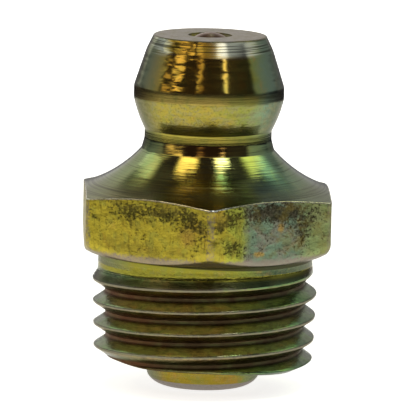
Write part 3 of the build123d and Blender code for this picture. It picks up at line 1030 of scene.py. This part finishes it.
# Soft-edged panels round the part: azimuth from the front (+ is to the right) and
# elevation in degrees, left to right and low to high, then softness, strength and tint.
WALL_PANELS = [
    (-68, -50, 24, 32, 3, 2.0, WARM),
    (-84, -66, 11, 18, 5, 1.0, WARM),
    (-70, -54, 38, 50, 3, 1.5, WARM),
    (-46, -36, 37, 47, 3, 1.7, WARM),
    (-28, -12, 38, 52, 4, 1.2, WARM),
    (-12, 12, 38, 52, 5, 0.40, WARM),
    (-112, -70, 38, 50, 5, 1.1, (1.0, 0.97, 0.70)),
    (-21, -11, 25, 32, 2, 1.0, WARM),
    (23.5, 28.5, 24, 36, 1.2, 2.7, WHITE),
    (14, 36, 40, 50, 5, 1.7, WHITE),
    (10, 95, 38, 47, 8, 0.62, COOL),
    (32, 70, 20, 36, 8, 0.03, WHITE),
    (76, 150, 5, 34, 5, 0.45, COOL),
    (-150, -90, 5, 34, 5, 0.42, COOL),
    (90, 127, 36, 58, 4, 1.9, (0.95, 1.0, 0.50)),
    (123, 140, 34, 47, 5, 1.5, (0.72, 1.0, 0.70)),
    (138, 156, 33, 42, 5, 0.5, (0.80, 1.0, 0.90)),
    (-160, -145, 34, 46, 4, 0.35, (0.90, 1.0, 0.80)),
    (-108, -84, 24, 34, 4, 0.45, (1.0, 0.95, 0.60)),
    (76, 112, 24, 34, 4, 0.22, WHITE),
    (-145, -118, 28, 50, 4, 1.6, (0.85, 1.0, 0.85)),
    (150, 220, 5, 32, 4, 0.8, WHITE),
    (-220, -150, 5, 32, 4, 0.35, WHITE),
    (130, 230, -4, 5, 1, 0.25, WHITE),
]
# Panels overhead, on a ceiling at height 1: left to right and back to front, then the same.
CEILING_PANELS = [
    (-0.18, 0.18, -1.80, -0.22, 0.08, 0.34, (1.0, 0.98, 0.85)),
    (-0.6, -0.30, -1.80, -0.25, 0.06, 0.07, (0.95, 1.0, 0.90)),
    (0.24, 0.50, -0.15, 0.12, 0.04, 0.06, (1.0, 1.0, 0.90)),
    (0.18, 0.6, -1.80, -0.30, 0.08, 0.13, (0.90, 1.0, 1.0)),
    (-0.35, 0.6, -1.80, -0.80, 0.15, 0.12, (0.95, 1.0, 0.95)),
    (-0.52, -0.18, -0.01, 0.28, 0.025, 4.0, (1.0, 0.80, 0.40)),
    (-0.43, -0.26, -0.17, -0.03, 0.02, 3.6, (1.0, 0.80, 0.40)),
    (0.14, 0.37, 0.12, 0.34, 0.02, 8.8, WHITE),
    (0.14, 0.22, 0.00, 0.10, 0.015, 3.4, WHITE),
    (0.125, 0.175, -0.16, -0.01, 0.01, 3.1, (0.6, 1.0, 0.85)),
    (0.10, 0.145, -0.38, -0.18, 0.01, 3.5, (0.6, 1.0, 0.85)),
    (0.08, 0.125, -0.60, -0.40, 0.01, 4.0, (0.6, 1.0, 0.85)),
    (0.06, 0.11, -1.20, -0.62, 0.01, 4.2, (0.6, 1.0, 0.85)),
]


class Sky(Nodes):
    """World shader: a dim room with panels added one by one."""

    def __init__(self, room):
        world = bpy.data.worlds.new("studio")
        bpy.context.scene.world = world
        world.use_nodes = True
        super().__init__(world.node_tree)
        self.background = self.tree.nodes["Background"]
        self.light = self.node("ShaderNodeRGB").outputs[0]
        self.light.default_value = (*room, 1.0)
        coordinates = self.node("ShaderNodeTexCoord")
        split = self.node("ShaderNodeSeparateXYZ")
        self.feed(split.inputs[0], coordinates.outputs["Generated"])
        x, y, up = split.outputs
        front = self.times(y, -1.0)
        self.azimuth = self.times(self.math("ARCTAN2", x, front), 180 / pi)
        self.elevation = self.times(self.math("ARCSINE", up), 180 / pi)
        above = self.math("MAXIMUM", up, LOWEST_UP)
        self.ceiling_x = self.math("DIVIDE", x, above)
        self.ceiling_front = self.math("DIVIDE", front, above)

    def between(self, value, low, high, soft):
        return self.math("SUBTRACT", self.step(value, low - soft, low + soft),
                         self.step(value, high - soft, high + soft))

    def panel(self, across, upward, left, right, low, high, soft, strength, tint):
        lit = self.times(self.between(across, left, right, soft),
                         self.between(upward, low, high, soft))
        added = self.node("ShaderNodeVectorMath", operation="MULTIPLY_ADD")
        self.feed(added.inputs[0], lit)
        self.feed(added.inputs[1], tuple(c * strength for c in tint))
        self.feed(added.inputs[2], self.light)
        self.light = added.outputs[0]

    def finish(self):
        self.feed(self.background.inputs["Color"], self.light)
        self.background.inputs["Strength"].default_value = 1.0


sky = Sky(ROOM_LIGHT)
for panel in WALL_PANELS:
    sky.panel(sky.azimuth, sky.elevation, *panel)
    if panel[1] > 180:  # it goes on where the azimuth starts again
        sky.panel(sky.math("ADD", sky.azimuth, 360.0), sky.elevation, *panel)
for panel in CEILING_PANELS:
    sky.panel(sky.ceiling_x, sky.ceiling_front, *panel)
sky.finish()


# ---- camera ----------------------------------------------------------
IMAGE_SIDE, SENSOR_WIDTH = 416, 36.0
CENTRE_SCALE = 22.40
DISTANCE = 330.0
ELEVATION, ROLL, YAW = radians(8.35), radians(1.289), radians(2.14)
AIM_X, AIM_Z = 0.0705, 7.99


def place_camera():
    """Camera at the picture's angle; its scale at the aim is in pixels a millimetre."""
    camera = bpy.data.objects.new("camera", bpy.data.cameras.new("camera"))
    bpy.context.collection.objects.link(camera)
    camera.data.sensor_width = SENSOR_WIDTH
    camera.data.lens = CENTRE_SCALE * DISTANCE / IMAGE_SIDE * SENSOR_WIDTH
    camera.data.clip_start, camera.data.clip_end = 0.01, 20.0
    turn = Matrix.Rotation(-YAW, 3, "Z")
    aim = turn @ Vector((AIM_X, 0, 0)) + Vector((0, 0, AIM_Z))
    back = turn @ Vector((0, -cos(ELEVATION), sin(ELEVATION)))
    level_right = turn @ Vector((1, 0, 0))
    level_up = back.cross(level_right)
    right = level_right * cos(ROLL) + level_up * sin(ROLL)
    up = level_up * cos(ROLL) - level_right * sin(ROLL)
    spot = (aim + back * DISTANCE) * MM
    camera.matrix_world = Matrix((
        (right.x, up.x, back.x, spot.x),
        (right.y, up.y, back.y, spot.y),
        (right.z, up.z, back.z, spot.z),
        (0, 0, 0, 1),
    ))
    bpy.context.scene.camera = camera


place_camera()
bpy.context.scene.view_settings.view_transform = "Standard"
